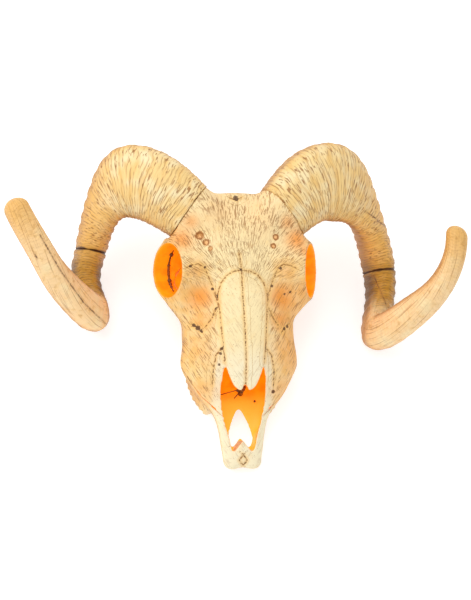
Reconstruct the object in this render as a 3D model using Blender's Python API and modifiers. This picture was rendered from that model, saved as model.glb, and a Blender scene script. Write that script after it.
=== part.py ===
"""Ram skull decoration, life size, lying on its teeth and the back of its head.

A hollow moulded skull in two halves, an upper shell and a lower one, and two curled horns, each
moulded in two pieces: a ringed root that plugs against the skull and a smooth tip.

Skull sizes are in millimetres and become metres where a mesh is made. +Z is up and the nose
points to -Y. Skull heights are above the table, and lengths run back from the nose.
"""

import bmesh
import bpy
import numpy as np
from collections import namedtuple
from math import cos, radians, sin, tau
from mathutils import Matrix, Vector

MM = 0.001
WALL = 3.0
GAP = 0.3

# The plane that the face lies in leans back this far from level, and the nose opening, the gap
# in the palate and the fall of the horns are all laid out square to it.
FACE_LEAN = radians(60)
FACE_UP = Vector((0, sin(FACE_LEAN), cos(FACE_LEAN)))
FACE_OUT = Vector((0, -cos(FACE_LEAN), sin(FACE_LEAN)))
FACE_ORIGIN = Vector((0, 0, 12))

# The skull's midline and nose stand here, so that the origin is the middle of the footprint.
MIDLINE_X = 0.37
NOSE_Y = -162.9

Station = namedtuple("Station", "y half_width top bottom widest roof floor")
STATIONS = (
    Station(3, 8, 15, 9, 12, 2.0, 2.0),
    Station(7, 17, 17.5, 7, 12, 2.2, 2.2),
    Station(15, 22, 23, 7, 14, 2.4, 2.4),
    Station(30, 24, 31, 10, 19, 2.4, 2.4),
    Station(50, 28, 43, 15, 29, 2.3, 2.6),
    Station(70, 43, 59, 17, 36, 2.1, 3.0),
    Station(87, 53, 74, 18, 40, 2.0, 3.4),
    Station(105, 61, 83, 18, 43, 1.9, 3.4),
    Station(125, 58, 93, 19, 49, 1.8, 3.2),
    Station(150, 58, 102, 22, 56, 1.8, 2.8),
    Station(175, 60, 109, 26, 62, 2.1, 2.4),
    Station(200, 61, 115, 28, 66, 2.7, 2.2),
    Station(225, 58, 121.5, 24, 66, 3.0, 2.2),
    Station(241, 53, 124, 18, 62, 3.1, 2.2),
    Station(254, 48, 124, 16, 60, 3.1, 2.2),
    Station(264, 43, 117.5, 15, 56, 2.8, 2.2),
    Station(272, 34, 102, 18, 54, 2.4, 2.2),
    Station(277, 26, 90, 26, 54, 2.2, 2.2),
)
# The casting's snout leans a little to +X: (length from the nose, how far).
SNOUT_SKEW = ((0, 0.2), (45, 0.4), (80, 1.0), (130, 1.0), (180, 0.5), (280, 0))
SKIN_VOXEL, SKIN_SMOOTHING, SKIN_KEPT = 2.5, 12, 0.08
SKULL_RINGS = 38
SKULL_SIDES = 36
CORE_START, CORE_END = 40.0, 268.0
CORE_RINGS = 26
CORE_SIDES = 28

# The two halves of the shell meet on a plane that climbs gently to the back.
PARTING_HEIGHT, PARTING_SLOPE = 33.2, 0.075

ORBIT_CENTRE = Vector((74.7, 189.5, 84))
ORBIT_SKEW = 2.7
ORBIT_AXIS = Vector((0.91, -0.207, 0.359)).normalized()
ORBIT_HOLE, ORBIT_RIM = 27.0, 30.0
ORBIT_FLARE = 15.0
ORBIT_DEPTH = 41.0
ORBIT_TRIM = 8.0
ORBIT_SIDES = 30

# Nose opening, seen square to the face: (height above the nose tip, half width).
# It runs down either side of a small pointed plate between the front bars.
NOSE_OPENING = (
    (29, 0.5), (18.5, 8.5), (19, 10.5), (24, 12), (32, 13.5), (46, 17.5), (60, 20.5), (74, 22), (86, 22),
    (98, 20.5), (112, 17),
)
NOSE_LOBE, NOSE_LOBE_SIZE = (10, 10, 12.5), (12, 11.5, 7)
PALATE_GAP = ((30, 0.5), (20.5, 8.5), (25, 11.5), (30, 12.5), (38, 10.5), (46, 7.8), (53, 4.6), (58, 1.5))
# The floor of the nose: how far it lies behind the face plane at the nose tip, and its slope.
NOSE_FLOOR, NOSE_FLOOR_SLOPE = -3.4, -0.36

NASAL_TOP = ((63, 66), (74, 71.5), (87, 78.5), (103, 86.5), (125, 96), (150, 104.5), (177, 111))
NASAL_HALF = (
    (63, 4.5), (66, 9.5), (72, 13.5), (80, 17), (90, 20), (120, 22.5), (150, 23.5), (165, 21), (177, 8)
)
NASAL_THICK = 4.6
NASAL_CROWN = 3.0
# One plate lies this much higher, so that their faces don't coincide where they overlap.
NASAL_STEP = 0.2
NASAL_LAP, NASAL_NOTCH = 1.2, 3.6

# Cheek teeth: the row's outer face, as (length from the nose, distance from the midline).
TOOTH_LINE = ((68, 35), (79, 43.5), (92, 49.5), (110, 53), (130, 54), (150, 50))
TOOTH_SIZES = (10, 11.5, 13, 15, 16.5, 17)
TOOTH_WIDTH = 13.0
TOOTH_ROOT = 26.0
TOOTH_SKEW = 2.0

# Horns: the line that each follows, from the skull to its tip. The castings differ: past the arch
# the right horn hangs lower and wider than the left one. Both are written for the +X side.
RIGHT_ROUTE = (
    (49, 246.5, 106),
    (79.5, 273, 115.5),
    (109.5, 284.5, 107),
    (145, 269, 75.5),
    (166.5, 216, 39),
    (164.5, 182.5, 27),
    (156, 149, 28.5),
    (183, 147.5, 71.5),
    (207, 163, 99.5),
    (222.5, 193, 121.5),
    (224, 214.5, 133.5),
)
LEFT_ROUTE = (
    (49, 246.5, 106),
    (80, 269, 113),
    (108, 282, 106),
    (132.5, 270, 75),
    (146, 235, 47),
    (151, 204, 34),
    (143, 170.5, 34),
    (176.5, 173.5, 82),
    (200.5, 193, 114),
    (220, 218, 135.5),
    (228.5, 233, 144),
)
# Depth of each horn, out from the coil's axis, and its thickness along that axis.
RIGHT_DEPTH = (63, 76, 83, 65, 48, 42, 39, 34, 28, 25, 25)
RIGHT_THICKNESS = (50, 53, 50, 36, 31, 29, 29, 28, 24, 22, 22)
LEFT_DEPTH = (63, 72, 76, 56, 47, 43, 39, 34, 30, 27, 25)
LEFT_THICKNESS = (50, 53, 48, 34, 31, 29, 28, 28, 26, 24, 23)
HORN_AXIS_Y, HORN_AXIS_Z = 208.0, 85.0
HORN_SQUARENESS = 2.3
HORN_FRONT_BULGE = 0.16
HORN_JOIN_POINT = 4
HORN_SEAT, HORN_SEAT_DEPTH = 37.0, 34.0
HORN_STRETCH = 0.11
HORN_SIDES = 18
ROOT_RINGS, TIP_RINGS = 54, 40
RIDGE_PITCH, RIDGE_HEIGHT = 11.0, 1.1
TIP_ROUND = 11.0

BONE = (0.93, 0.78, 0.50, 1)
HORN = (0.90, 0.71, 0.42, 1)


def clear_scene():
    for obj in list(bpy.data.objects):
        bpy.data.objects.remove(obj, do_unlink=True)


def material(name, colour, roughness):
    made = bpy.data.materials.new(name)
    made.use_nodes = True
    shader = made.node_tree.nodes["Principled BSDF"]
    shader.inputs["Base Color"].default_value = colour
    shader.inputs["Roughness"].default_value = roughness
    shader.inputs["Metallic"].default_value = 0.0
    return made


def through(points):
    """A smooth curve y(x) through the points, which doesn't overshoot them."""
    xs, ys = np.array(points, float).T
    steps = np.diff(xs)
    slopes = np.diff(ys) / steps
    bends = np.zeros(len(xs))
    bends[0], bends[-1] = slopes[0], slopes[-1]
    for i in range(1, len(xs) - 1):
        if slopes[i - 1] * slopes[i] > 0:
            before, after = 2 * steps[i] + steps[i - 1], steps[i] + 2 * steps[i - 1]
            bends[i] = (before + after) / (before / slopes[i - 1] + after / slopes[i])

    def value(x):
        i = int(np.clip(np.searchsorted(xs, x) - 1, 0, len(steps) - 1))
        t = (x - xs[i]) / steps[i]
        return float(
            ys[i] * (1 + 2 * t) * (1 - t) ** 2
            + ys[i + 1] * t * t * (3 - 2 * t)
            + steps[i] * (bends[i] * t * (1 - t) ** 2 - bends[i + 1] * t * t * (1 - t))
        )

    return value


def spline(points):
    """A natural cubic spline through the points, as a function of 0 to 1 along its chords."""
    points = np.array(points, float)
    knots = np.concatenate([[0], np.cumsum(np.linalg.norm(np.diff(points, axis=0), axis=1))])
    knots /= knots[-1]
    steps = np.diff(knots)[:, None]
    count = len(points)
    rows = np.eye(count)
    right = np.zeros_like(points)
    for i in range(1, count - 1):
        rows[i, i - 1 : i + 2] = steps[i - 1, 0], 2 * (steps[i - 1, 0] + steps[i, 0]), steps[i, 0]
        right[i] = 6 * ((points[i + 1] - points[i]) / steps[i] - (points[i] - points[i - 1]) / steps[i - 1])
    curved = np.linalg.solve(rows, right)

    def value(t):
        i = int(np.clip(np.searchsorted(knots, t) - 1, 0, count - 2))
        step = steps[i, 0]
        a, b = (knots[i + 1] - t) / step, (t - knots[i]) / step
        return (
            a * points[i] + b * points[i + 1]
            + ((a**3 - a) * curved[i] + (b**3 - b) * curved[i + 1]) * step * step / 6
        )

    return value, knots


def new_object(name, mesh, collection):
    obj = bpy.data.objects.new(name, mesh)
    collection.objects.link(obj)
    return obj


def mesh_object(name, bm, collection):
    """The bmesh, in millimetres, as an object in metres."""
    bmesh.ops.scale(bm, vec=(MM,) * 3, verts=bm.verts)
    mesh = bpy.data.meshes.new(name)
    bm.to_mesh(mesh)
    bm.free()
    return new_object(name, mesh, collection)


def loft(name, rings, collection):
    """A closed skin over rings of points, capped at both ends."""
    bm = bmesh.new()
    loops = [[bm.verts.new(point) for point in ring] for ring in rings]
    sides = len(loops[0])
    for low, high in zip(loops, loops[1:]):
        for i in range(sides):
            j = (i + 1) % sides
            bm.faces.new((low[i], low[j], high[j], high[i]))
    bm.faces.new(loops[0][::-1])
    bm.faces.new(loops[-1])
    bmesh.ops.recalc_face_normals(bm, faces=bm.faces)
    return mesh_object(name, bm, collection)


def cone(name, start, end, radius_start, radius_end, sides, collection, squash=1.0):
    """A capped cone from start to end; squash narrows it across X."""
    start, end = Vector(start), Vector(end)
    bm = bmesh.new()
    bmesh.ops.create_cone(
        bm, cap_ends=True, segments=sides, depth=(end - start).length,
        radius1=radius_start, radius2=radius_end,
    )
    turn = (end - start).to_track_quat("Z", "Y").to_matrix().to_4x4()
    bmesh.ops.transform(
        bm,
        matrix=Matrix.Translation((start + end) / 2) @ turn @ Matrix.Diagonal((squash, 1, 1, 1)),
        verts=bm.verts,
    )
    return mesh_object(name, bm, collection)


def ball(name, centre, radii, collection, sides=16):
    bm = bmesh.new()
    bmesh.ops.create_uvsphere(bm, u_segments=sides, v_segments=sides // 2, radius=1)
    bmesh.ops.scale(bm, vec=radii, verts=bm.verts)
    bmesh.ops.translate(bm, vec=centre, verts=bm.verts)
    return mesh_object(name, bm, collection)


def block(name, low, high, collection):
    bm = bmesh.new()
    bmesh.ops.create_cube(bm, size=1)
    low, high = Vector(low), Vector(high)
    bmesh.ops.scale(bm, vec=high - low, verts=bm.verts)
    bmesh.ops.translate(bm, vec=(low + high) / 2, verts=bm.verts)
    return mesh_object(name, bm, collection)


def superellipse(angle, across, up, power):
    """The point at this angle of a rounded box with these half sizes."""
    c, s = cos(angle), sin(angle)
    return (
        across * abs(c) ** (2 / power) * (1 if c >= 0 else -1),
        up * abs(s) ** (2 / power) * (1 if s >= 0 else -1),
    )


def skull_ring(y, sides, inset=0.0):
    """The skull's cross-section at this length, drawn in by inset."""
    size = {field: curve(y) for field, curve in SKULL_CURVES.items()}
    ring = []
    for i in range(sides):
        angle = tau * (i + 0.5) / sides
        above = sin(angle) > 0
        height = (size["top"] - size["widest"]) if above else (size["widest"] - size["bottom"])
        x, z = superellipse(
            angle, size["half_width"] - inset, height - inset, size["roof"] if above else size["floor"]
        )
        ring.append(Vector((x + skew(y), y, size["widest"] + z)))
    return ring


SKULL_CURVES = {
    field: through([(station.y, getattr(station, field)) for station in STATIONS])
    for field in Station._fields[1:]
}


skew = through(SNOUT_SKEW)


def on_face(x, up, out):
    """A point laid out square to the face: across, up it from the nose tip, and out from it."""
    return FACE_ORIGIN + Vector((x, 0, 0)) + FACE_UP * up + FACE_OUT * out


def face_prism(name, outline, low, slope, high, collection):
    """A cutter with this half outline, mirrored across the midline and run square to the face.

    Its inner end starts at low and sinks by slope with the height up the face."""
    half = [(w, u) for u, w in outline]
    whole = half + [(-w, u) for w, u in reversed(half)]
    inner = [on_face(x, up, low + slope * up) for x, up in whole]
    return loft(name, [inner, [on_face(x, up, high) for x, up in whole]], collection)


def mirrored(side, vector):
    return Vector((vector[0] * side, vector[1], vector[2]))


def orbit_point(side, along):
    """The point on an eye socket's axis this far out from the middle of its rim."""
    return mirrored(side, ORBIT_CENTRE + ORBIT_AXIS * along) + Vector((ORBIT_SKEW, 0, 0))


class Horn:
    """One horn's line, frames and sections. side is 1 for +X and -1 for -X."""

    def __init__(self, side):
        self.side = side
        right = side > 0
        self.line, self.knots = spline(RIGHT_ROUTE if right else LEFT_ROUTE)
        self.depth = through(list(zip(self.knots, RIGHT_DEPTH if right else LEFT_DEPTH)))
        self.thickness = through(list(zip(self.knots, RIGHT_THICKNESS if right else LEFT_THICKNESS)))
        steps = [Vector(self.line(t)) for t in np.linspace(0, 1, 201)]
        self.length = sum((b - a).length for a, b in zip(steps, steps[1:]))

    def frame(self, t):
        """Where the line is at t, its direction, and the ways out from the coil's axis and along it.

        The direction is taken over a long stretch, so that the sections don't cross inside a bend."""
        here = Vector(self.line(t))
        ahead = Vector(self.line(min(1, t + HORN_STRETCH))) - Vector(self.line(max(0, t - HORN_STRETCH)))
        ahead.normalize()
        out = Vector((0, here.y - HORN_AXIS_Y, here.z - HORN_AXIS_Z))
        out -= ahead * out.dot(ahead)
        out.normalize()
        return here, ahead, out, ahead.cross(out)

    def ring(self, t, scale=1.0, back=0.0):
        here, ahead, out, along = self.frame(t)
        depth, thickness = self.depth(t) / 2 * scale, self.thickness(t) / 2 * scale
        here = here - ahead * back
        points = []
        for i in range(HORN_SIDES):
            across, up = superellipse(tau * (i + 0.5) / HORN_SIDES, thickness, depth, HORN_SQUARENESS)
            across *= 1 + HORN_FRONT_BULGE * up / depth
            points.append(mirrored(self.side, here + along * across + out * up))
        return points

    def ridge(self, t):
        """How far the growth rings stand out at t: strongest past the arch, gone on the tip."""
        wave = 0.5 + 0.5 * cos(tau * t * self.length / RIDGE_PITCH)
        strength = through(((0, 0.3), (0.15, 0.6), (0.3, 1), (0.55, 1), (0.7, 0.2), (1, 0)))(t)
        return RIDGE_HEIGHT * wave * strength

    def piece(self, name, start, end, rings, collection):
        loops = []
        round_from = 1 - TIP_ROUND / self.length
        for i in range(rings + 1):
            t = start + (end - start) * i / rings
            scale = 1 + self.ridge(t) / (self.depth(t) / 2)
            if end == 1 and t > round_from:
                continue
            loops.append(self.ring(t, scale))
        if end == 1:
            for turn in range(1, 7):
                angle = radians(14) * turn
                t = round_from + (1 - round_from) * sin(angle)
                loops.append(self.ring(t, cos(angle)))
        return loft(name, loops, collection)


def add_boolean(obj, operation, operand, solver="EXACT"):
    modifier = obj.modifiers.new(operation.title(), "BOOLEAN")
    modifier.operation = operation
    modifier.solver = solver
    if isinstance(operand, bpy.types.Collection):
        modifier.operand_type = "COLLECTION"
        modifier.collection = operand
    else:
        modifier.object = operand


def apply_modifiers(obj):
    """Bakes the modifiers and keeps only the largest closed surface."""
    graph = bpy.context.evaluated_depsgraph_get()
    mesh = bpy.data.meshes.new_from_object(obj.evaluated_get(graph), depsgraph=graph)
    obj.modifiers.clear()
    obj.data = mesh
    bm = bmesh.new()
    bm.from_mesh(mesh)
    left, islands = set(bm.verts), []
    while left:
        island, edge = set(), [left.pop()]
        while edge:
            vert = edge.pop()
            island.add(vert)
            for other in (e.other_vert(vert) for e in vert.link_edges):
                if other in left:
                    left.discard(other)
                    edge.append(other)
        islands.append(island)
    keep = max(islands, key=len)
    bmesh.ops.delete(bm, geom=[v for v in bm.verts if v not in keep], context="VERTS")
    bm.to_mesh(mesh)
    bm.free()


def empty_collection(collection):
    for obj in list(collection.objects):
        bpy.data.objects.remove(obj, do_unlink=True)


def helper_collection(name):
    made = bpy.data.collections.new(name)
    made.hide_render = True
    bpy.context.scene.collection.children.link(made)
    return made


def soften(obj):
    """Runs the pieces of a joined shape into one another, as flesh-smooth bone does, with few faces."""
    remesh = obj.modifiers.new("Even skin", "REMESH")
    remesh.mode = "VOXEL"
    remesh.voxel_size = SKIN_VOXEL * MM
    smooth = obj.modifiers.new("Run together", "SMOOTH")
    smooth.iterations = SKIN_SMOOTHING
    fewer = obj.modifiers.new("Fewer faces", "DECIMATE")
    fewer.ratio = SKIN_KEPT
    apply_modifiers(obj)


def join(body, joined, solver="EXACT"):
    add_boolean(body, "UNION", joined, solver)
    apply_modifiers(body)
    empty_collection(joined)


def build_outside(collection, joined):
    """The skull as one solid: its body with the eye tubes and horn stumps run into it, then the rest."""
    first, last = STATIONS[0].y, STATIONS[-1].y
    ys = [first + (last - first) * i / SKULL_RINGS for i in range(SKULL_RINGS + 1)]
    body = loft("body", [skull_ring(y, SKULL_SIDES) for y in ys], collection)
    for side in (1, -1):
        add_orbit(side, joined)
        add_horn_boss(side, joined)
        ball("lobe", mirrored(side, NOSE_LOBE), NOSE_LOBE_SIZE, joined)
    join(body, joined)
    soften(body)
    for side in (1, -1):
        add_teeth(side, joined)
        add_skull_base(side, joined)
        add_cheek_bar(side, joined)
    join(body, joined)
    return body


def add_orbit(side, joined):
    """The raised tube round an eye socket, the brow over it and the cheekbone under it."""
    narrowed = ORBIT_RIM - ORBIT_FLARE * ORBIT_TRIM / ORBIT_DEPTH
    cone(
        "orbit", orbit_point(side, -ORBIT_DEPTH), orbit_point(side, ORBIT_TRIM), ORBIT_RIM + ORBIT_FLARE,
        narrowed, ORBIT_SIDES, joined,
    )
    cone("brow", (46 * side, 229, 97), (63.5 * side, 207, 91), 20, 17, 16, joined)
    cone("cheekbone", (35 * side, 160, 57), (67 * side, 175, 76), 27, 17, 20, joined)


def orbit_hole(side, cutters):
    cone(
        "orbit_hole", orbit_point(side, -ORBIT_DEPTH), orbit_point(side, 5),
        ORBIT_HOLE + 3, ORBIT_HOLE - 0.5, ORBIT_SIDES, cutters,
    )
    cone(
        "orbit_trim", orbit_point(side, 0), orbit_point(side, 3 * ORBIT_TRIM),
        ORBIT_RIM * 1.5, ORBIT_RIM * 1.5, ORBIT_SIDES, cutters,
    )


def add_horn_boss(side, joined):
    """The stump that the horn sits on: it swells into the forehead."""
    horn = Horn(side)
    rings = [
        horn.ring(0, scale, back)
        for scale, back in ((0.55, 58), (0.76, 44), (0.89, 26), (0.96, 12), (1.0, 0), (1.0, -12))
    ]
    loft("boss", rings, joined)


def horn_seat(side, cutters):
    """Trims whatever the skull would push past the flat that the horn sits on."""
    here, ahead, _, _ = Horn(side).frame(0)
    start, end = here - ahead * GAP, here + ahead * HORN_SEAT_DEPTH
    cone("horn_seat", mirrored(side, start), mirrored(side, end), HORN_SEAT, HORN_SEAT, 24, cutters)


def add_teeth(side, joined):
    """Six cheek teeth, each of two lobes, whose flat ends the skull stands on."""
    line = through(TOOTH_LINE)
    y = TOOTH_LINE[0][0]
    for size in TOOTH_SIZES:
        for lobe in (0.27, 0.77):
            at = y + size * lobe
            x = (line(at) - TOOTH_WIDTH / 2) * side + TOOTH_SKEW
            radius = size * 0.33
            cone(
                "tooth", (x * 0.99, at - 1, -1.5), (x, at, TOOTH_ROOT), radius * 0.94, radius * 1.12, 8,
                joined, squash=TOOTH_WIDTH / 2 / radius,
            )
        y += size


def add_skull_base(side, joined):
    """Condyle, ear bulb and the process beside them, under the back of the head."""
    ball("condyle", (15 * side, 266, 15), (11, 12, 17), joined)
    ball("bulla", (25 * side, 236, 22), (10, 15, 12), joined)
    cone("process", (27 * side, 258, 8), (30 * side, 254, 40), 4, 10, 8, joined)


def add_cheek_bar(side, joined):
    """The bar of bone from below the eye back to the ear."""
    points = ((66, 196, 60), (67, 214, 61), (60, 234, 60), (42, 250, 58))
    line, _ = spline([(x * side, y, z) for x, y, z in points])
    rings = []
    for i in range(9):
        here = Vector(line(i / 8))
        ahead = Vector(line(min(1, i / 8 + 0.01))) - Vector(line(max(0, i / 8 - 0.01)))
        ahead.normalize()
        up = Vector((0, 0, 1))
        up = (up - ahead * up.dot(ahead)).normalized()
        across = ahead.cross(up)
        rings.append(
            [here + across * (3.6 * cos(tau * k / 10)) + up * (7 * sin(tau * k / 10)) for k in range(10)]
        )
    loft("cheek_bar", rings, joined)


def add_nasal_bones(joined):
    """Two long plates over the nose, each with its own round tip past the opening's edge."""
    top, half = through(NASAL_TOP), through(NASAL_HALF)
    start, end = NASAL_TOP[0][0], NASAL_TOP[-1][0]
    for side in (1, -1):
        rings = []
        for i in range(25):
            y = start + (end - start) * (i / 24) ** 1.4
            inner = max(-NASAL_LAP, NASAL_NOTCH - (y - start) * 0.5)
            outer = half(y)
            ring = []
            height = top(y) + (NASAL_STEP if side > 0 else 0)
            for k in range(7):
                x = inner + (outer - inner) * k / 6
                ring.append(Vector((x * side, y, height - NASAL_CROWN * (x / 22) ** 2)))
            for k in range(6, -1, -1):
                x = inner + (outer - inner) * k / 6
                ring.append(Vector((x * side, y, height - NASAL_CROWN * (x / 22) ** 2 - NASAL_THICK)))
            rings.append(ring)
        loft("nasal", rings, joined)


def build_skull(upper_name, lower_name, collection, bone):
    joined = helper_collection("moulded together")
    cutters = helper_collection("cutters")
    body = build_outside(collection, joined)

    ys = [CORE_START + (CORE_END - CORE_START) * i / CORE_RINGS for i in range(CORE_RINGS + 1)]
    loft("core", [skull_ring(y, CORE_SIDES, WALL) for y in ys], cutters)
    for side in (1, -1):
        orbit_hole(side, cutters)
        horn_seat(side, cutters)
    face_prism("nose_opening", NOSE_OPENING, NOSE_FLOOR, NOSE_FLOOR_SLOPE, 60, cutters)
    face_prism("palate_gap", PALATE_GAP, -70, 0, 10, cutters)
    cone("spine_hole", (0, 250, 42), (0, 285, 36), 12, 12, 16, cutters)
    cone("throat", (0, 168, 0), (0, 150, 45), 16, 14, 20, cutters)
    block("table", (-200, -50, -60), (200, 320, 0), cutters)
    add_boolean(body, "DIFFERENCE", cutters)
    apply_modifiers(body)
    empty_collection(cutters)

    # The exact solver doubles an edge at the horn seats here, so the other one joins these.
    add_nasal_bones(joined)
    join(body, joined, "MANIFOLD")

    halves = []
    for name, low, high in ((upper_name, GAP / 2, 300), (lower_name, -300, -GAP / 2)):
        keep = helper_collection(name + " keeper")
        corners = ((-200, low), (200, low), (200, high), (-200, high))
        rings = []
        for y in (-60, 330):
            parting = PARTING_HEIGHT + PARTING_SLOPE * y
            rings.append([Vector((x, y, parting + z)) for x, z in corners])
        keeper = loft("keeper", rings, keep)
        half = new_object(name, body.data.copy(), collection)
        add_boolean(half, "INTERSECT", keeper)
        apply_modifiers(half)
        empty_collection(keep)
        half.data.materials.clear()
        half.data.materials.append(bone)
        halves.append(half)
    bpy.data.objects.remove(body, do_unlink=True)
    return halves


def build_horns(collection, keratin):
    pieces = []
    for side, word in ((1, "right"), (-1, "left")):
        horn = Horn(side)
        join = horn.knots[HORN_JOIN_POINT]
        join_gap = GAP / horn.length
        for name, start, end, rings in (
            (f"horn_root_{word}", 0, join, ROOT_RINGS),
            (f"horn_tip_{word}", join + join_gap, 1, TIP_RINGS),
        ):
            piece = horn.piece(name, start, end, rings, collection)
            piece.data.materials.append(keratin)
            pieces.append(piece)
    return pieces


def shade(obj):
    obj.data.shade_smooth()
    obj.data.set_sharp_from_angle(angle=radians(35))


def main():
    clear_scene()
    collection = bpy.data.collections.new("ram skull")
    bpy.context.scene.collection.children.link(collection)
    bone = material("bone", BONE, 0.55)
    keratin = material("horn", HORN, 0.5)
    nodes = build_skull("skull_upper", "skull_lower", collection, bone) + build_horns(collection, keratin)
    stand = bpy.data.objects.new("ram_skull", None)
    collection.objects.link(stand)
    stand.location = (MIDLINE_X * MM, NOSE_Y * MM, 0)
    for node in nodes:
        shade(node)
        node.parent = stand


main()
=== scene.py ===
# A hollow moulded ram skull with two curled horns, lying on its teeth: the finish of every surface.
from math import cos, radians, sin, tau

import bmesh
import bpy
import numpy as np
from mathutils import Matrix, Vector


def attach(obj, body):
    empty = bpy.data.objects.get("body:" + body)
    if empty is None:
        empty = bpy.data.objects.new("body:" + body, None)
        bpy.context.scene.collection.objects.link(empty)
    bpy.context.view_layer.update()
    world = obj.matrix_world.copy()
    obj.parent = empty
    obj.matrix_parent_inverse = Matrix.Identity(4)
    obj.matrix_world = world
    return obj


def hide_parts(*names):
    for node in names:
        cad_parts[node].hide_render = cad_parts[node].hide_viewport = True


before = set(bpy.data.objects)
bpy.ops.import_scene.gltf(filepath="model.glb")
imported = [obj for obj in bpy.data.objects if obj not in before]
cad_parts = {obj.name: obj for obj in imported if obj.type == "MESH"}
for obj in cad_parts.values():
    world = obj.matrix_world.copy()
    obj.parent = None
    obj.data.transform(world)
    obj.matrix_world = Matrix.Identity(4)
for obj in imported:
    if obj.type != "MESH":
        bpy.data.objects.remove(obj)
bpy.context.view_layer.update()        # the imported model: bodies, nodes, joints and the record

mm = 0.001

# Skull lengths run back from the nose in millimetres, heights are above the table.
skullPlace = {"midlineX": 0.37, "noseY": -162.9, "faceLean": radians(60), "faceFootZ": 12.0}
faceUp = Vector((0, sin(skullPlace["faceLean"]), cos(skullPlace["faceLean"])))
faceOut = Vector((0, -cos(skullPlace["faceLean"]), sin(skullPlace["faceLean"])))
noseFoot = Vector((skullPlace["midlineX"], skullPlace["noseY"], skullPlace["faceFootZ"]))
toWorld = Matrix.Scale(mm, 4) @ Matrix.Translation((skullPlace["midlineX"], skullPlace["noseY"], 0))


def linked(name, data):
    obj = bpy.data.objects.new(name, data)
    bpy.context.scene.collection.objects.link(obj)
    return obj


def meshFrom(name, bm):
    mesh = bpy.data.meshes.new(name)
    bm.to_mesh(mesh)
    bm.free()
    return mesh


# Camera
cameraView = {
    "elevation": radians(60),
    "turn": radians(10),        # round to the skull's own right
    "distance": 1300.0,
    "aimAcross": -7.5,          # from the nose, in the picture plane
    "aimUp": 170.0,
    "lens": 78.0,
    "sensor": 36.0,
    "clip": (0.05, 20.0),       # metres
}
frameSize = (471, 600)


def viewAxes():
    elevation, turn = cameraView["elevation"], cameraView["turn"]
    back = Vector((-sin(turn), -cos(turn) * cos(elevation), cos(turn) * sin(elevation)))
    right = Vector((0, sin(elevation), cos(elevation))).cross(back).normalized()
    up = back.cross(right)
    aim = noseFoot + right * cameraView["aimAcross"] + up * cameraView["aimUp"]
    return right, up, back, aim


def makeCamera():
    right, up, back, aim = viewAxes()
    data = bpy.data.cameras.new("camera")
    data.sensor_width = cameraView["sensor"]
    data.lens = cameraView["lens"]
    data.clip_start, data.clip_end = cameraView["clip"]
    camera = linked("camera", data)
    turn = Matrix((right, up, back)).transposed()
    camera.matrix_world = Matrix.Translation((aim + back * cameraView["distance"]) * mm) @ turn.to_4x4()
    bpy.context.scene.camera = camera


def pictured(points):
    # where points, in millimetres, lie in the photograph's frame of 471 by 600 pixels
    right, up, back, aim = (np.array(axis) for axis in viewAxes())
    offset = points - aim
    away = cameraView["distance"] - offset @ back
    focus = cameraView["lens"] / cameraView["sensor"] * frameSize[1]
    return np.stack([
        frameSize[0] / 2 + focus * (offset @ right) / away,
        frameSize[1] / 2 - focus * (offset @ up) / away,
    ], 1)


makeCamera()
print("camera set")


# Shader maths
class Wire:
    # one output socket, which takes part in plain expressions
    def __init__(self, finish, socket):
        self.finish = finish
        self.socket = socket

    def maths(self, operation, *values):
        sockets = dict(enumerate(values))
        return self.finish.add("ShaderNodeMath", {"operation": operation}, sockets)

    def __add__(self, other):
        return self.maths("ADD", self, other)

    def __radd__(self, other):
        return self.maths("ADD", other, self)

    def __sub__(self, other):
        return self.maths("SUBTRACT", self, other)

    def __rsub__(self, other):
        return self.maths("SUBTRACT", other, self)

    def __mul__(self, other):
        return self.maths("MULTIPLY", self, other)

    def __rmul__(self, other):
        return self.maths("MULTIPLY", other, self)

    def size(self):
        return self.maths("ABSOLUTE", self)

    def wave(self):
        return self.maths("SINE", self)

    def most(self, other):
        return self.maths("MAXIMUM", self, other)

    def rise(self, low, high):
        # 0 below low, 1 above high, or the other way round when low is the larger
        settings = {"interpolation_type": "SMOOTHSTEP"}
        ends = {1: low, 2: high, 3: 0.0, 4: 1.0} if low < high else {1: high, 2: low, 3: 1.0, 4: 0.0}
        return self.finish.add("ShaderNodeMapRange", settings, {0: self, **ends})


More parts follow.
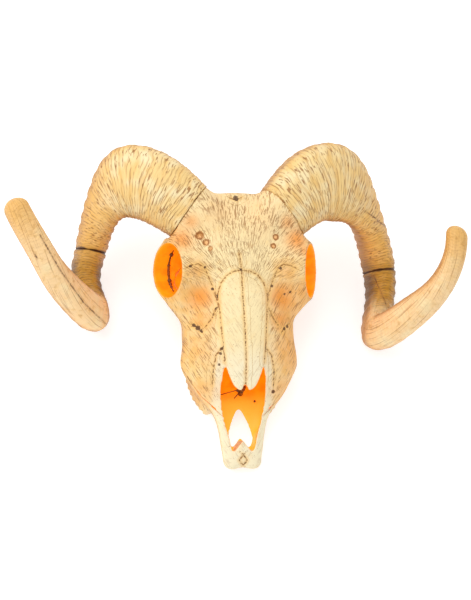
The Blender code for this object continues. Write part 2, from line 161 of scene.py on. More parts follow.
class Finish:
    # a Principled material that is built from expressions
    def __init__(self, name):
        self.material = bpy.data.materials.new(name)
        self.material.use_nodes = True
        self.tree = self.material.node_tree
        self.shader = self.tree.nodes["Principled BSDF"]

    def add(self, kind, settings=None, sockets=None, out=0):
        node = self.tree.nodes.new(kind)
        for key, value in (settings or {}).items():
            setattr(node, key, value)
        for key, value in (sockets or {}).items():
            self.join(value, node.inputs[key])
        return Wire(self, node.outputs[out])

    def join(self, value, socket):
        if isinstance(value, Wire):
            self.tree.links.new(value.socket, socket)
        elif isinstance(value, (tuple, list)) and socket.type == "RGBA" and len(value) == 3:
            socket.default_value = (*value, 1.0)
        else:
            socket.default_value = value

    def attribute(self, name, out="Fac"):
        return self.add("ShaderNodeAttribute", {"attribute_name": name}, out=out)

    def place(self):
        # Object coordinates in millimetres from the foot of the nose
        spot = self.add("ShaderNodeTexCoord", out="Object")
        scaled = self.vector("SCALE", spot, Scale=1 / mm)
        return self.vector("SUBTRACT", scaled, tuple(noseFoot))

    def vector(self, operation, *values, out=0, **named):
        sockets = dict(enumerate(values))
        sockets.update(named)
        return self.add("ShaderNodeVectorMath", {"operation": operation}, sockets, out)

    def parts(self, vector):
        return [self.add("ShaderNodeSeparateXYZ", sockets={0: vector}, out=i) for i in range(3)]

    def joined(self, x, y, z):
        return self.add("ShaderNodeCombineXYZ", sockets={0: x, 1: y, 2: z})

    def noise(self, spot, scale, detail=2.0, roughness=0.5):
        sockets = {"Vector": spot, "Scale": scale, "Detail": detail, "Roughness": roughness}
        return self.add("ShaderNodeTexNoise", sockets=sockets)

    def mix(self, factor, first, second):
        settings = {"data_type": "RGBA", "clamp_factor": True}
        return self.add("ShaderNodeMix", settings, {0: factor, 6: first, 7: second}, out=2)

    def surface(self, colour, roughness, height=None, depth=0.0005, strength=1.0):
        self.join(colour, self.shader.inputs["Base Color"])
        self.join(roughness, self.shader.inputs["Roughness"])
        if height is not None:
            sockets = {"Strength": strength, "Distance": depth, "Height": height}
            self.join(self.add("ShaderNodeBump", sockets=sockets), self.shader.inputs["Normal"])
        return self.material


# Colours, as linear light
palette = {
    "cream": (0.94, 0.73, 0.38),
    "butter": (0.92, 0.76, 0.43),
    "ivory": (0.91, 0.80, 0.54),
    "tan": (0.86, 0.51, 0.14),
    "apricot": (0.94, 0.44, 0.11),
    "peach": (0.88, 0.29, 0.020),
    "umber": (0.10, 0.035, 0.007),
    "stainAndShade": (0.33, 0.115, 0.014),
    "glow": (0.78, 0.27, 0.002),
    "glowDeep": (0.74, 0.20, 0.001),
    "glowPale": (0.80, 0.36, 0.025),
    "hornButter": (0.90, 0.74, 0.42),
    "hornCream": (0.88, 0.61, 0.24),
    "gold": (0.76, 0.39, 0.065),
    "olive": (0.52, 0.25, 0.018),
    "rose": (0.94, 0.64, 0.32),
}


def dashes(finish, spot, scale, low, high):
    # short strokes: what stands above low in a noise that was stretched beforehand
    return finish.noise(spot, scale, 1.0).rise(low, high)


def makeShellFinish():
    finish = Finish("mouldedShell")
    spot = finish.place()
    x, y, z = finish.parts(spot)
    side = x.size()
    up = y * sin(skullPlace["faceLean"]) + z * cos(skullPlace["faceLean"])
    suture = finish.attribute("suture")
    sutureAlong = finish.attribute("sutureAlong")
    wash = finish.attribute("wash")
    turnedShade = finish.attribute("turnedShade")
    hollow = finish.attribute("hollow").rise(0.42, 0.58)
    pits = finish.attribute("pits")

    # broad colour: cream forehead, butter nasal bones, ivory bars beside the nose, tan cheeks
    broad = finish.noise(spot, 0.035, 3.0)
    blotch = finish.noise(spot, 0.11, 2.0)
    body = finish.mix(broad.rise(0.35, 0.7) * 0.5, palette["cream"], palette["butter"])
    body = finish.mix(side.rise(28.0, 16.0) * up.rise(205.0, 165.0) * 0.9, body, palette["butter"])
    body = finish.mix(side.rise(35.0, 27.0) * up.rise(135.0, 100.0), body, palette["ivory"])
    cheek = side.rise(26.0, 44.0) * up.rise(228.0, 195.0)
    body = finish.mix(cheek * (blotch.rise(0.3, 0.65) * 0.45 + 0.30), body, palette["tan"])
    # the lower face on the +X side darker and more apricot
    body = finish.mix(x.rise(26.0, 60.0) * up.rise(200.0, 160.0) * 0.45, body, palette["apricot"])
    # painted shade: surfaces that turn away from the face are coloured tan
    body = finish.mix(turnedShade.rise(0.30, 0.95) * 0.60, body, palette["tan"])
    body = finish.mix(blotch.rise(0.5, 0.8) * 0.30, body, palette["tan"])
    body = finish.mix(wash * (broad.rise(0.2, 0.6) * 0.45 + 0.55), body, palette["peach"])

    # hair lines fan out from between the eyes, and lie along the cheeks
    fanUp = up - 172.0
    angle = finish.add("ShaderNodeMath", {"operation": "ARCTAN2"}, {0: fanUp, 1: x})
    radius = finish.vector("LENGTH", finish.joined(x, fanUp, 0.0), out="Value")
    bend = (finish.noise(spot, 0.025, 1.0) - 0.5) * 0.15
    fanSpot = finish.joined((angle + bend) * 58.0, radius * 0.10, z * 0.02)
    fan = dashes(finish, fanSpot, 1.0, 0.56, 0.62) * up.rise(178.0, 200.0)
    fineFan = dashes(finish, fanSpot, 1.9, 0.58, 0.64) * up.rise(190.0, 215.0)
    slant = finish.joined(side * 0.95 - up * 0.55, (up * 0.70 + side * 0.42) * 0.12, z * 0.02)
    grain = dashes(finish, slant, 1.0, 0.57, 0.64) * up.rise(200.0, 180.0)
    grain = grain * (side.rise(24.0, 30.0) * 0.7 + 0.3)
    patchy = finish.noise(spot, 0.06, 1.0).rise(0.30, 0.60) * 0.8 + 0.2
    hair = fan.most(fineFan * 0.8).most(grain) * patchy
    speck = finish.noise(spot, 0.8, 1.0).rise(0.68, 0.75)
    # painted shade: the surfaces turned furthest from the face are darkened to brown
    body = finish.mix(turnedShade.rise(0.60, 1.0) * 0.45, body, palette["stainAndShade"])
    body = finish.mix(hair * 0.72, body, palette["stainAndShade"])
    body = finish.mix(speck * 0.60, body, palette["stainAndShade"])

    # stitched sutures, and the rings round the nerve pits
    wander = finish.noise(spot, 0.35, 2.0) - 0.5
    line = (suture + wander * 2.2).size().rise(0.85, 0.30)
    stitch = finish.noise(finish.joined(sutureAlong * 0.42, x * 0.02, 0.0), 1.0, 2.0).rise(0.42, 0.56)
    sutureMask = line * (stitch * 0.80 + 0.20)
    body = finish.mix(suture.size().rise(4.0, 0.5) * 0.50, body, palette["tan"])
    body = finish.mix(sutureMask * 0.85, body, palette["stainAndShade"])
    knots = line * finish.noise(spot, 0.22, 1.0).rise(0.62, 0.68)
    body = finish.mix(knots, body, palette["umber"])
    uneven = pits + wander * 0.9
    rim = uneven.rise(0.60, 0.85) * uneven.rise(1.50, 1.20)
    body = finish.mix(pits.rise(0.3, 1.2) * 0.5, body, palette["peach"])
    body = finish.mix(rim * (broad.rise(0.4, 0.5) * 0.5 + 0.4), body, palette["stainAndShade"])
    blots = (finish.attribute("ink") + wander * 1.6).rise(0.35, 0.70)
    body = finish.mix(blots * finish.attribute("ink").rise(0.0, 0.1) * 0.9, body, palette["umber"])

    # the hollow's orange, with painted light: it glows of itself in place of the light that comes through
    # the thin plastic, and is paler on the floor of the nose
    glow = finish.mix(blotch.rise(0.35, 0.7), palette["glow"], palette["glowDeep"])
    glow = finish.mix(z.rise(18.0, 6.0) * y.rise(84.0, 66.0), glow, palette["glowPale"])
    colour = finish.mix(hollow, body, glow)
    finish.join(finish.mix(hollow, (0.0, 0.0, 0.0), glow), finish.shader.inputs["Emission Color"])
    finish.shader.inputs["Emission Strength"].default_value = 0.6
    height = 0.0 - hair * 0.6 - speck * 0.3 - sutureMask * 0.9 + finish.noise(spot, 0.5, 3.0) * 0.25
    return finish.surface(colour, 0.46 + blotch * 0.14, height * (1.0 - hollow), 0.6 * mm, 0.9)


def makeHornFinish():
    finish = Finish("mouldedHorn")
    spot = finish.place()
    lay = finish.attribute("lay", "Vector")
    along, across, deep = finish.parts(lay)
    tipward = finish.attribute("tipward")
    seam = finish.attribute("seam")
    crack = finish.attribute("crack")
    turnedShade = finish.attribute("turnedShade")

    # growth rings: fine lines that wander and break off, on coarser bands
    wobble = finish.noise(finish.joined(along * 0.02, across * 0.05, deep * 0.05), 1.0, 2.0) - 0.5
    fine = ((along + wobble * 9.0) * (tau / 3.3)).wave().rise(0.35, 0.98)
    broken = finish.noise(finish.joined(along * 0.14, across * 0.12, deep * 0.12), 1.0, 2.0)
    rings = fine * broken.rise(0.38, 0.60)
    bands = ((along + wobble * 20.0) * (tau / 11.0)).wave().rise(0.2, 1.0)
    strokes = dashes(finish, finish.joined(along * 0.80, across * 0.16, deep * 0.16), 1.0, 0.60, 0.66)
    patches = finish.noise(spot, 0.05, 2.0)
    blotch = finish.noise(spot, 0.16, 3.0)

    root = finish.mix(patches.rise(0.35, 0.7), palette["hornCream"], palette["hornButter"])
    root = finish.mix(tipward.rise(0.14, 0.40) * 0.85, root, palette["gold"])
    root = finish.mix(bands * 0.30, root, palette["gold"])
    # painted shade: the sides turned away from the face go gold, then dark brown
    root = finish.mix(turnedShade.rise(0.25, 0.85) * 0.75, root, palette["gold"])
    root = finish.mix(turnedShade.rise(0.45, 0.95) * 0.60, root, palette["stainAndShade"])
    root = finish.mix(rings * 0.48, root, palette["stainAndShade"])
    root = finish.mix(strokes * patches.rise(0.3, 0.5) * 0.80, root, palette["stainAndShade"])
    # painted shade: the middle of the horn, which lies behind the tip arm, is dark olive, nearly black
    # where it turns away from the face
    olive = finish.mix(blotch.rise(0.45, 0.75) * 0.5, palette["olive"], palette["gold"])
    olive = finish.mix(rings * 0.55, olive, palette["umber"])
    olive = finish.mix(turnedShade.rise(0.20, 0.80) * 0.80, olive, palette["umber"])
    grain = finish.noise(finish.joined(along * 0.03, across * 0.5, deep * 0.5), 1.0, 2.0)
    tip = finish.mix(blotch.rise(0.45, 0.75) * 0.4, palette["rose"], palette["tan"])
    tip = finish.mix(patches.rise(0.45, 0.7) * 0.6, tip, palette["butter"])
    # painted shade: the tip's sides turned away from the face go apricot, then dark brown
    tip = finish.mix(turnedShade.rise(0.35, 0.95) * 0.6, tip, palette["apricot"])
    tip = finish.mix(turnedShade.rise(0.60, 0.95) * 0.6, tip, palette["stainAndShade"])
    tip = finish.mix(tipward.rise(0.84, 0.99) * 0.75, tip, palette["gold"])
    tip = finish.mix(blotch.rise(0.56, 0.72) * patches.rise(0.55, 0.4) * 0.35, tip, palette["stainAndShade"])
    tip = finish.mix(grain.rise(0.54, 0.68) * 0.50, tip, palette["stainAndShade"])
    # along the horn: the root, then the olive middle that is painted shade, then the tip
    body = finish.mix(tipward.rise(0.40, 0.47), root, olive)
    body = finish.mix((tipward + wobble * 0.08).rise(0.53, 0.62), body, tip)
    body = finish.mix(seam.rise(7.0, 1.0) * 0.5, body, palette["olive"])
    body = finish.mix((seam + wobble * 5.0).rise(2.6, 0.8) * 0.95, body, palette["umber"])
    ragged = crack + (finish.noise(spot, 0.4, 2.0) - 0.5) * 1.8
    body = finish.mix(crack.rise(2.2, 0.4) * 0.30, body, palette["stainAndShade"])
    split = ragged.rise(0.70, 0.25) * (broken.rise(0.40, 0.60) * 0.5 + 0.4)
    body = finish.mix(split, body, palette["umber"])
    height = fine * -0.35 + bands * -0.3 - strokes * 0.4 + grain * 0.2 * tipward.rise(0.5, 0.6)
    return finish.surface(body, 0.42 + blotch * 0.15, height, 0.8 * mm, 0.8)


# Shaping helpers
def readVector(items, name):
    values = np.empty(len(items) * 3)
    items.foreach_get(name, values)
    return values.reshape(-1, 3)


def store(mesh, name, values, kind="FLOAT"):
    made = mesh.attributes.new(name, kind, "POINT")
    key = "vector" if kind == "FLOAT_VECTOR" else "value"
    made.data.foreach_set(key, np.asarray(values, np.float32).ravel())


def neighbourMean(edges, count, degree, values):
    total = np.empty_like(values)
    for k in range(values.shape[1]):
        total[:, k] = np.bincount(edges[:, 0], values[edges[:, 1], k], count)
        total[:, k] += np.bincount(edges[:, 1], values[edges[:, 0], k], count)
    return total / degree[:, None]


# A rim is where the normals of near faces differ, so that their mean is short.
smoothing = {"step": 0.5, "normalRounds": 8, "rimBelow": 0.86, "blendOver": 0.08}


def smoothBroadly(mesh, rounds, rimRounds):
    # takes the facets off broad surfaces and leaves the thin rims where they are
    count = len(mesh.vertices)
    edges = np.empty(len(mesh.edges) * 2, np.int64)
    mesh.edges.foreach_get("vertices", edges)
    edges = edges.reshape(-1, 2)
    degree = np.maximum(np.bincount(edges.ravel(), minlength=count), 1)
    points = readVector(mesh.vertices, "co")
    for _ in range(rimRounds):
        points += smoothing["step"] * (neighbourMean(edges, count, degree, points) - points)
    mesh.vertices.foreach_set("co", points.ravel())
    mesh.update()
    normals = readVector(mesh.vertex_normals, "vector")
    for _ in range(smoothing["normalRounds"]):
        normals = neighbourMean(edges, count, degree, normals)
    agreeing = np.linalg.norm(normals, axis=1) - smoothing["rimBelow"]
    flat = np.clip(agreeing / smoothing["blendOver"], 0, 1)[:, None]
    for _ in range(rounds):
        points += flat * smoothing["step"] * (neighbourMean(edges, count, degree, points) - points)
    mesh.vertices.foreach_set("co", points.ravel())
    mesh.update()
    return points


def remeshed(name, node, voxel):
    # an even, merged copy of a CAD node
    source = bmesh.new()
    source.from_mesh(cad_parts[node].data)
    bmesh.ops.remove_doubles(source, verts=source.verts, dist=shell["mergeWithin"] * mm)
    obj = linked(name, meshFrom(name, source))
    remesh = obj.modifiers.new("even", "REMESH")
    remesh.mode = "VOXEL"
    remesh.voxel_size = voxel * mm
    graph = bpy.context.evaluated_depsgraph_get()
    obj.data = bpy.data.meshes.new_from_object(obj.evaluated_get(graph), depsgraph=graph)
    obj.modifiers.clear()
    obj.data.name = name
    return obj


# Skull shell
shell = {
    "mergeWithin": 0.002,
    "voxel": 1.25,
    "smoothing": 45,
    "rimSmoothing": 3,
    "engraving": 0.45,
    "engravingWidth": 0.9,
    "pitDepth": 0.9,
    "partingHeight": 33.2,
    "partingSlope": 0.075,
    "orbitCentre": (74.7, 189.5, 84.0),
    "orbitSkew": 2.7,
    "orbitAxis": (0.91, -0.207, 0.359),
    "orbitHole": 27.0,
}
# Sutures, as (from the midline, up the face from the nose). Those in pairs run on both sides.
midSutures = [
    [(0, 84), (1, 110), (0, 141), (-1, 173), (-1, 200), (-2, 216)],
    [(-4, 10), (0, 15.5), (4, 10), (0, 4.5), (-4, 10)],
    [(-7, 274), (-2, 272), (4, 275)],
]
pairedSutures = [
    [(0, 200), (8, 199), (16, 195), (22, 187), (25, 178), (25.5, 170), (24, 155), (22, 130), (20, 108)],
    [(56, 202), (50, 205), (44, 206), (38, 203), (34, 194), (30, 184), (26, 170)],
    [(22, 123), (28, 115), (31, 100), (31, 85)],
    [(27, 162), (31, 152), (37, 144)],
    [(49, 145), (44, 142), (41, 138)],
]
# Nerve pits over the eyes: (from the midline, up the face, radius).
pitPlaces = [
    (-41, 235, 3.4), (-35, 228, 2.8), (-31, 222, 2.0), (37, 234, 2.6), (34, 225, 2.4), (31, 78, 1.6),
]
# Dark dots where the stain sits deep: (from the midline, up the face, radius).
inkPlaces = [
    (-48, 144.5, 1.5), (-44, 142, 1.7), (-41, 139, 1.3), (-24, 117, 1.3), (-23, 122, 1.1), (-25, 106, 1.0),
    (31, 78, 1.5), (44, 141, 1.2), (48, 143, 1.1), (45, 176, 1.1), (51, 178, 1.0), (-52, 204, 1.2),
    (-37, 203, 1.1), (40, 202, 1.2), (-30, 181, 1.1), (31, 184, 1.1), (-2, 274, 2.2),
]
# Places where the brown wash gathered: (from the midline, up the face, spread, strength).
washPlaces = [
    (41, 172, 15, 0.9), (38, 150, 12, 0.7), (60, 232, 13, 0.85), (50, 249, 9, 0.6), (67, 221, 8, 0.7),
    (46, 200, 12, 0.35), (44, 120, 22, 0.35), (36, 80, 14, 0.4), (20, 258, 22, 0.25), (66, 180, 12, 0.4),
]
spineHeights = ((0, 12), (30, 19), (50, 29), (70, 36), (105, 43), (150, 56), (200, 66), (277, 56))
undersides = ((0, 8), (15, 7), (50, 15), (70, 17), (125, 19), (150, 22), (200, 28), (241, 18), (277, 26))
lineReach = 6.0     # past this a line has no effect
# How the faces of the hollow are told from the outside.
hollowTest = {
    "run": (20, 262),           # the ends of the hollow's middle line, from the nose
    "facing": 0.15,
    "sharpness": 2.0,
    "aboveUnderside": 1.0,
    "nearParting": 1.0,
    "socketRun": (-45, 6),      # along the eye socket's axis, from its mouth
    "socketTaper": 0.07,
    "socketSharpness": 0.8,
    "rimFrom": -30,
    "rimSpan": (1.6, 22),       # out from the edge of the hole
    "rimFacing": 0.6,
    "rimOffMidline": 50,
}


def lineField(points, lines, reach=lineReach):
    # signed distance to the nearest line, and how far along it that is
    best = np.full(len(points), reach)
    along = np.zeros(len(points))
    signed = np.full(len(points), reach)
    for line in lines:
        done = 0.0
        for (ax, au), (bx, bu) in zip(line, line[1:]):
            run = np.array((bx - ax, bu - au), float)
            length = np.linalg.norm(run)
            run /= length
            offset = points - (ax, au)
            t = offset @ run
            side = offset @ (-run[1], run[0])
            gap = np.hypot(side, t - np.clip(t, 0, length))
            nearer = gap < best
            best[nearer] = gap[nearer]
            signed[nearer] = np.copysign(gap, side)[nearer]
            along[nearer] = done + np.clip(t, 0, length)[nearer]
            done += length
    return signed, along


def dotField(face, places, reach, most):
    # highest in the middle of each dot, and 0 past reach times its radius
    field = np.zeros(len(face))
    for x, u, radius in places:
        gap = np.hypot(face[:, 0] - x, face[:, 1] - u) / radius
        field = np.maximum(field, np.clip(reach - gap, 0, most))
    return field


def orbitPlace(side):
    # the middle of an eye socket's mouth, and the way that it faces
    axis = Vector((shell["orbitAxis"][0] * side, *shell["orbitAxis"][1:])).normalized()
    centre = Vector((shell["orbitCentre"][0] * side + shell["orbitSkew"], *shell["orbitCentre"][1:]))
    return centre, axis


def hollowness(points, normals):
    # 1 on the faces of the hollow and 0 outside, from which way each face looks
    x, y, z = points.T
    run = np.clip(y, *hollowTest["run"])
    middle = np.stack([np.zeros(len(x)), run, np.interp(y, *zip(*spineHeights))], 1)
    inward = middle - points
    inward /= np.linalg.norm(inward, axis=1)[:, None]
    facing = (inward * normals).sum(1)
    above = z > np.interp(y, *zip(*undersides)) + hollowTest["aboveUnderside"]
    looksIn = 0.5 + (facing - hollowTest["facing"]) * hollowTest["sharpness"]
    amount = np.where(above, np.clip(looksIn, 0, 1), 0)
    parting = shell["partingHeight"] + shell["partingSlope"] * y
    level = np.abs(normals[:, 2]) > 0.5
    amount[(np.abs(z - parting) < hollowTest["nearParting"]) & level] = 0
    deepest, mouth = hollowTest["socketRun"]
    rimInner, rimOuter = hollowTest["rimSpan"]
    for side in (1, -1):
        centre, axis = orbitPlace(side)
        offset = points - np.array(centre)
        reach = offset @ np.array(axis)
        apart = np.linalg.norm(offset - reach[:, None] * np.array(axis), axis=1)
        hole = shell["orbitHole"] - 0.1 - reach * hollowTest["socketTaper"]
        tube = np.clip(0.5 + (hole + 1.0 - apart) * hollowTest["socketSharpness"], 0, 1)
        amount = np.maximum(amount, tube * (reach > deepest) * (reach < mouth))
        rim = (reach > hollowTest["rimFrom"]) & (apart > hole + rimInner) & (apart < hole + rimOuter)
        rim &= (facing < hollowTest["rimFacing"]) & (np.abs(x) > hollowTest["rimOffMidline"])
        amount[rim] = 0
    return amount


def makeShell(name, node, finish):
    obj = remeshed(name, node, shell["voxel"])
    mesh = obj.data
    points = smoothBroadly(mesh, shell["smoothing"], shell["rimSmoothing"])
    normals = readVector(mesh.vertex_normals, "vector")
    place = points / mm - np.array((skullPlace["midlineX"], skullPlace["noseY"], 0.0))
    face = np.stack([place[:, 0], (place - (0, 0, skullPlace["faceFootZ"])) @ np.array(faceUp)], 1)
    hollow = hollowness(place, normals)
    outer = (1 - hollow) * np.clip((normals @ np.array(faceOut) + 0.1) * 4, 0, 1)

    lines = midSutures + pairedSutures + [[(-x, u) for x, u in line] for line in pairedSutures]
    suture, along = lineField(face, lines)
    suture = np.where(outer > 0.5, suture, lineReach)
    wash = np.zeros(len(points))
    for x, u, spread, strength in washPlaces:
        for side in (1, -1):
            gap = np.hypot(face[:, 0] - x * side, face[:, 1] - u)
            wash = np.maximum(wash, strength * np.exp(-((gap / spread) ** 2)))
    pits = dotField(face, pitPlaces, 2, 2) * (outer > 0.5)
    ink = dotField(face, inkPlaces, 1.8, 1) * (outer > 0.5)
    cut = shell["engraving"] * np.exp(-((suture / shell["engravingWidth"]) ** 2))
    cut += shell["pitDepth"] * np.clip((pits - 0.9) / 0.7, 0, 1)
    points -= normals * (cut * outer * mm)[:, None]
    mesh.vertices.foreach_set("co", points.ravel())
    store(mesh, "suture", suture)
    store(mesh, "sutureAlong", along)
    store(mesh, "wash", wash * (1 - hollow))
    store(mesh, "hollow", hollow)
    store(mesh, "pits", pits)
    store(mesh, "ink", ink)
    # for painted shade: how far each surface turns away from the face's outward direction
    store(mesh, "turnedShade", 1 - np.clip(normals @ np.array(faceOut), 0, 1))
    mesh.materials.clear()
    mesh.materials.append(finish)
    mesh.shade_smooth()
    mesh.update()
    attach(obj, "root")
    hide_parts(node)
    print(name, len(mesh.polygons), "faces")
    return obj


shellFinish = makeShellFinish()
makeShell("skullUpper", "skull_upper", shellFinish)
makeShell("skullLower", "skull_lower", shellFinish)


# Horns. Each follows its line from the skull to the tip, written for the +X side.
horns = {
    "right": {
        "route": (
            (49, 246.5, 106), (79.5, 273, 115.5), (109.5, 284.5, 107), (145, 269, 75.5), (166.5, 216, 39),
            (164.5, 182.5, 27), (156, 149, 28.5), (183, 147.5, 71.5), (207, 163, 99.5), (222.5, 193, 121.5),
            (224, 214.5, 133.5),
        ),
        "depth": (63, 76, 83, 65, 48, 42, 39, 34, 28, 25, 25),
        "thickness": (50, 53, 50, 36, 31, 29, 29, 28, 24, 22, 22),
    },
    "left": {
        "route": (
            (49, 246.5, 106), (80, 269, 113), (108, 282, 106), (132.5, 270, 75), (146, 235, 47),
            (151, 204, 34), (143, 170.5, 34), (176.5, 173.5, 82), (200.5, 193, 114), (220, 218, 135.5),
            (228.5, 233, 144),
        ),
        "depth": (63, 72, 76, 56, 47, 43, 39, 34, 30, 27, 25),
        "thickness": (50, 53, 48, 34, 31, 29, 28, 28, 26, 24, 23),
    },
    "axis": (208.0, 85.0),      # the coil's axis: length from the nose, height
    "squareness": 2.3,
    "bulge": 0.16,
    "joinPoint": 4,
    "stretch": 0.11,            # how far along the line a section's direction is taken over
    "gap": 0.3,
    "tipRound": 11.0,
    "sides": 112,
    "ringStep": 1.15,
    "ridgePitch": 11.0,
    "ridgeHeight": 1.1,
    "finePitch": 3.7,
    "fineHeight": 0.22,
    "seamDrop": 1.4,
    "seamWidth": 2.2,
    "skullClear": 50,           # keeps the seam's stain off the end at the skull
    "layRadius": 24.0,          # the round rod that the finish is laid out on
    # how strong the ridges and the fine lines are, from the skull (0) to the tip (1)
    "ridgeStrength": ((0, 0.15, 0.3, 0.55, 0.7, 1), (0.3, 0.6, 1, 1, 0.2, 0)),
    "fineStrength": ((0, 0.3, 0.55, 0.7), (1, 1, 0.8, 0)),
}
# Cracks in the horns, by the pixels that they cross in the photograph.
hornCracks = [
    [(106, 324), (84, 303), (60, 270), (40, 235)],
    [(374, 276), (380, 290), (386, 304)],
    [(377, 221), (384, 225), (391, 230)],
    [(364, 211), (371, 215), (378, 220)],
    [(35, 254), (37, 258)],
]


def curveThrough(xs, ys):
    # a smooth curve through the points, which doesn't overshoot them
    xs, ys = np.array(xs, float), np.array(ys, float)
    steps = np.diff(xs)
    slopes = np.diff(ys) / steps
    bends = np.zeros(len(xs))
    bends[0], bends[-1] = slopes[0], slopes[-1]
    for i in range(1, len(xs) - 1):
        if slopes[i - 1] * slopes[i] > 0:
            before, after = 2 * steps[i] + steps[i - 1], steps[i] + 2 * steps[i - 1]
            bends[i] = (before + after) / (before / slopes[i - 1] + after / slopes[i])

    def value(x):
        i = int(np.clip(np.searchsorted(xs, x) - 1, 0, len(steps) - 1))
        t = (x - xs[i]) / steps[i]
        rest = 1 - t
        ends = ys[i] * (1 + 2 * t) * rest**2 + ys[i + 1] * t * t * (3 - 2 * t)
        return float(ends + steps[i] * (bends[i] * t * rest**2 - bends[i + 1] * t * t * rest))

    return value


def lineThrough(points):
    # a natural cubic spline, as a function of 0 to 1 along its chords
    points = np.array(points, float)
    knots = np.concatenate([[0], np.cumsum(np.linalg.norm(np.diff(points, axis=0), axis=1))])
    knots /= knots[-1]
    steps = np.diff(knots)[:, None]
    count = len(points)
    rows, right = np.eye(count), np.zeros_like(points)
    for i in range(1, count - 1):
        rows[i, i - 1 : i + 2] = steps[i - 1, 0], 2 * (steps[i - 1, 0] + steps[i, 0]), steps[i, 0]
        right[i] = 6 * ((points[i + 1] - points[i]) / steps[i] - (points[i] - points[i - 1]) / steps[i - 1])
    curved = np.linalg.solve(rows, right)

    def value(t):
        i = int(np.clip(np.searchsorted(knots, t) - 1, 0, count - 2))
        step = steps[i, 0]
        a, b = (knots[i + 1] - t) / step, (t - knots[i]) / step
        bend = ((a**3 - a) * curved[i] + (b**3 - b) * curved[i + 1]) * step * step / 6
        return Vector(a * points[i] + b * points[i + 1] + bend)

    return value, knots


class HornLine:
    def __init__(self, word):
        self.side = 1 if word == "right" else -1
        sizes = horns[word]
        self.line, self.knots = lineThrough(sizes["route"])
        self.depth = curveThrough(self.knots, sizes["depth"])
        self.thickness = curveThrough(self.knots, sizes["thickness"])
        dots = [self.line(t) for t in np.linspace(0, 1, 201)]
        self.length = sum((b - a).length for a, b in zip(dots, dots[1:]))

    def section(self, t, scale=1.0):
        # the matrix that sets a flat unit ring in its place at t
        here = self.line(t)
        ahead = self.line(min(1, t + horns["stretch"])) - self.line(max(0, t - horns["stretch"]))
        ahead.normalize()
        axisY, axisZ = horns["axis"]
        out = Vector((0, here.y - axisY, here.z - axisZ))
        out -= ahead * out.dot(ahead)
        out.normalize()
        beside = ahead.cross(out)
        columns = (beside * self.thickness(t) / 2 * scale, out * self.depth(t) / 2 * scale, ahead, here)
        flip = Matrix.Diagonal((self.side, 1, 1, 1))
        rows = [[column[row] for column in columns] for row in range(3)] + [[0, 0, 0, 1]]
        return toWorld @ flip @ Matrix(rows)


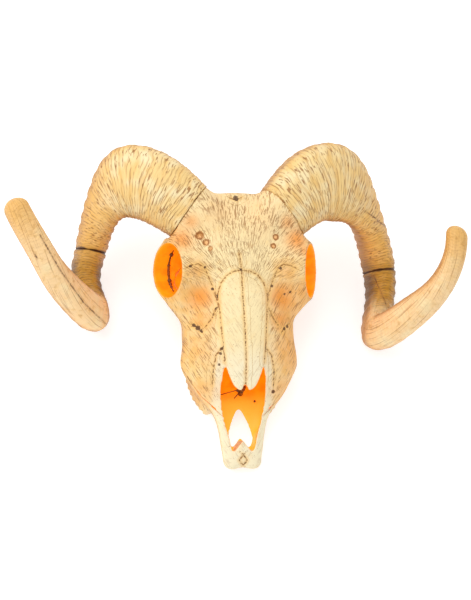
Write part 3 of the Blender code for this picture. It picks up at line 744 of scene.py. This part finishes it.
def makeHorn(name, node, word, part, finish):
    horn = HornLine(word)
    join = horn.knots[horns["joinPoint"]]
    start, end = (0, join) if part == "root" else (join + horns["gap"] / horn.length, 1)
    count = int((end - start) * horn.length / horns["ringStep"])
    stops = [(start + (end - start) * i / count, 1.0) for i in range(count + 1)]
    if part == "tip":
        roundFrom = 1 - horns["tipRound"] / horn.length
        stops = [stop for stop in stops if stop[0] < roundFrom]
        turns = [radians(5) * turn for turn in range(1, 18)]
        stops += [(roundFrom + (1 - roundFrom) * sin(turn), cos(turn)) for turn in turns]

    bm = bmesh.new()
    bmesh.ops.create_circle(bm, segments=horns["sides"], radius=1)
    aroundLayer = bm.verts.layers.float.new("around")
    tLayer = bm.verts.layers.float.new("tipward")
    for vert in bm.verts:
        angle = np.arctan2(vert.co.y, vert.co.x)
        power = 2 / horns["squareness"]
        up = np.copysign(abs(sin(angle)) ** power, sin(angle))
        across = np.copysign(abs(cos(angle)) ** power, cos(angle)) * (1 + horns["bulge"] * up)
        vert[aroundLayer] = angle
        vert.co = (across, up, 0)
    ring = list(bm.verts)
    edges = list(bm.edges)
    bmesh.ops.contextual_create(bm, geom=edges)
    before = Matrix.Identity(4)
    for i, (t, scale) in enumerate(stops):
        if i:
            grown = bmesh.ops.extrude_edge_only(bm, edges=edges)["geom"]
            ring = [item for item in grown if isinstance(item, bmesh.types.BMVert)]
            edges = [item for item in grown if isinstance(item, bmesh.types.BMEdge)]
        place = horn.section(t, scale)
        bmesh.ops.transform(bm, matrix=place @ before.inverted(), verts=ring)
        before = place
        for vert in ring:
            vert[tLayer] = t
    bmesh.ops.contextual_create(bm, geom=edges)
    bmesh.ops.recalc_face_normals(bm, faces=bm.faces)
    mesh = meshFrom(name, bm)

    # growth rings
    points = readVector(mesh.vertices, "co")
    normals = readVector(mesh.vertex_normals, "vector")
    tipward, around = np.empty(len(points)), np.empty(len(points))
    mesh.attributes["tipward"].data.foreach_get("value", tipward)
    mesh.attributes["around"].data.foreach_get("value", around)
    for t in (start, end):      # the lips of a seam draw in square to the horn, so that it stays closed
        ahead = np.array((horn.section(t).to_3x3() @ Vector((0, 0, 1))).normalized())
        lip = np.abs(tipward - t) < 1e-6
        normals[lip] -= np.outer(normals[lip] @ ahead, ahead)
        normals[lip] /= np.maximum(np.linalg.norm(normals[lip], axis=1), 1e-6)[:, None]
    along = tipward * horn.length
    strength = np.interp(tipward, *horns["ridgeStrength"])
    wobble = 1.2 * np.sin(around * 2 + along * 0.05) + 0.6 * np.sin(around * 5 + 1)
    ridge = 0.5 + 0.5 * np.cos(tau * (along + wobble) / horns["ridgePitch"])
    fine = np.sin(tau * (along + 1.6 * wobble) / horns["finePitch"])
    lift = horns["ridgeHeight"] * ridge * strength
    lift += horns["fineHeight"] * fine * np.interp(tipward, *horns["fineStrength"])
    ends = along - start * horn.length
    if part == "root":
        ends = np.minimum(ends + horns["skullClear"], end * horn.length - along)
    lift -= horns["seamDrop"] * np.clip(1 - ends / horns["seamWidth"], 0, 1) ** 2
    points += normals * (lift * mm)[:, None]
    mesh.vertices.foreach_set("co", points.ravel())
    radius = horns["layRadius"]
    lay = np.stack([along, radius * np.cos(around), radius * np.sin(around)], 1)
    store(mesh, "lay", lay, "FLOAT_VECTOR")
    store(mesh, "seam", ends)
    facing = normals @ np.array(faceOut)
    crack, _ = lineField(pictured(points / mm), hornCracks)
    store(mesh, "crack", np.where(facing > 0.1, np.abs(crack), lineReach))
    # for painted shade: how far each surface turns away from the face's outward direction
    store(mesh, "turnedShade", 1 - np.clip(facing, 0, 1))
    mesh.materials.append(finish)
    mesh.shade_smooth()
    mesh.update()
    obj = linked(name, mesh)
    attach(obj, "root")
    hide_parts(node)
    print(name, len(mesh.polygons), "faces")
    return obj


hornFinish = makeHornFinish()
for word in ("right", "left"):
    makeHorn(f"hornRoot{word.title()}", f"horn_root_{word}", word, "root", hornFinish)
    makeHorn(f"hornTip{word.title()}", f"horn_tip_{word}", word, "tip", hornFinish)


# Fixings inside: a screw on its post behind the nasal bones; and in the left eye a dark brown rib with
# blobs, which is a painted shadow, put where the shadow of a post inside falls.
fixingsAndShadow = {
    "postFoot": (3, 80, 20),
    "postTop": (3, 80, 33),
    "postRadius": 2.6,
    "headRadius": 3.4,
    "headHeight": 2.2,
    "wireRadius": 0.5,
    "wires": [((3, 80, 33), (-19, 75, 30)), ((3, 80, 33), (8, 84, 34)), ((1, 78, 30), (-5, 72, 27))],
    "blobs": [((-1, 79, 31), 2.0), ((6, 82, 32), 1.6), ((16.5, 70, 24), 1.3)],
    "ribDepth": -18.0,
    "ribRadius": 27.4,
    "ribWidth": 1.5,
    "ribReach": 50,             # degrees each way, in steps that overlap a little
    "ribStep": 10,
    "ribOverlap": 0.5,
    "ribTaper": 0.6,
    "ribBlobs": [(-38, 2.4), (-12, 1.9), (22, 2.6), (30, 2.2), (38, 1.8)],
}


def addRod(bm, start, end, radius, sides=10):
    start, end = Vector(start), Vector(end)
    turn = (end - start).to_track_quat("Z", "Y").to_matrix().to_4x4()
    bmesh.ops.create_cone(
        bm, cap_ends=True, segments=sides, radius1=radius, radius2=radius, depth=(end - start).length,
        matrix=Matrix.Translation((start + end) / 2) @ turn,
    )


def addBlob(bm, centre, radius):
    bmesh.ops.create_icosphere(bm, subdivisions=2, radius=radius, matrix=Matrix.Translation(centre))


def makeBrownInsidePiece(name, bm, finish):
    bmesh.ops.transform(bm, matrix=toWorld, verts=bm.verts)
    bmesh.ops.recalc_face_normals(bm, faces=bm.faces)
    mesh = meshFrom(name, bm)
    mesh.materials.append(finish)
    mesh.shade_smooth()
    obj = linked(name, mesh)
    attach(obj, "root")
    print(name, len(mesh.polygons), "faces")


def makeFixingsAndShadow():
    finish = Finish("brownFixingAndShadow")
    mottle = finish.noise(finish.place(), 0.5, 2.0).rise(0.4, 0.65)
    colour = finish.mix(mottle, palette["umber"], palette["stainAndShade"])
    finish.surface(colour, 0.4 + mottle * 0.2, mottle, 0.3 * mm)
    bm = bmesh.new()
    foot, top = Vector(fixingsAndShadow["postFoot"]), Vector(fixingsAndShadow["postTop"])
    addRod(bm, foot, top, fixingsAndShadow["postRadius"], 20)
    addRod(bm, top, top + Vector((0, 0, fixingsAndShadow["headHeight"])), fixingsAndShadow["headRadius"], 20)
    for start, end in fixingsAndShadow["wires"]:
        addRod(bm, start, end, fixingsAndShadow["wireRadius"])
    for centre, radius in fixingsAndShadow["blobs"]:
        addBlob(bm, centre, radius)
    makeBrownInsidePiece("noseScrew", bm, finish.material)

    # painted shadow: the dark rib with blobs in the left eye socket
    centre, axis = orbitPlace(-1)
    lower = -(faceOut - axis * faceOut.dot(axis)).normalized()
    level = axis.cross(lower)

    def ribPoint(turn):
        spoke = lower * cos(radians(turn)) + level * sin(radians(turn))
        return centre + axis * fixingsAndShadow["ribDepth"] + spoke * fixingsAndShadow["ribRadius"]

    bm = bmesh.new()
    reach, step = fixingsAndShadow["ribReach"], fixingsAndShadow["ribStep"]
    for turn in range(-reach, reach, step):
        width = fixingsAndShadow["ribWidth"] * (1 - fixingsAndShadow["ribTaper"] * abs(turn) / reach)
        addRod(bm, ribPoint(turn), ribPoint(turn + step + fixingsAndShadow["ribOverlap"]), width)
    for turn, radius in fixingsAndShadow["ribBlobs"]:
        addBlob(bm, ribPoint(turn), radius)
    makeBrownInsidePiece("eyeShadowRib", bm, finish.material)


makeFixingsAndShadow()


# Floor and light
studio = {
    "floorSize": 3.0,
    "floorColour": (0.72, 0.72, 0.72),
    "floorGlow": 0.55,
    "world": 0.78,
    "keyPower": 12.0,
    "keySize": 1.5,
    "keyPlace": (-0.7, 0.25, 1.3),
}


def makeStudio():
    bm = bmesh.new()
    bmesh.ops.create_grid(bm, x_segments=1, y_segments=1, size=studio["floorSize"])
    mesh = meshFrom("floor", bm)
    floor = linked("floor", mesh)
    finish = Finish("paleFloor")
    finish.shader.inputs["Emission Color"].default_value = (1, 1, 1, 1)
    finish.shader.inputs["Emission Strength"].default_value = studio["floorGlow"]
    mesh.materials.append(finish.surface(studio["floorColour"], 0.9))
    world = bpy.data.worlds.new("studio")
    world.use_nodes = True
    background = world.node_tree.nodes["Background"]
    background.inputs["Color"].default_value = (1, 1, 1, 1)
    background.inputs["Strength"].default_value = studio["world"]
    bpy.context.scene.world = world
    data = bpy.data.lights.new("key", "AREA")
    data.energy = studio["keyPower"]
    data.size = studio["keySize"]
    light = linked("key", data)
    light.location = studio["keyPlace"]
    light.rotation_euler = (-Vector(studio["keyPlace"])).to_track_quat("-Z", "Y").to_euler()
    bpy.context.scene.view_settings.view_transform = "Standard"


makeStudio()
print("studio lit")
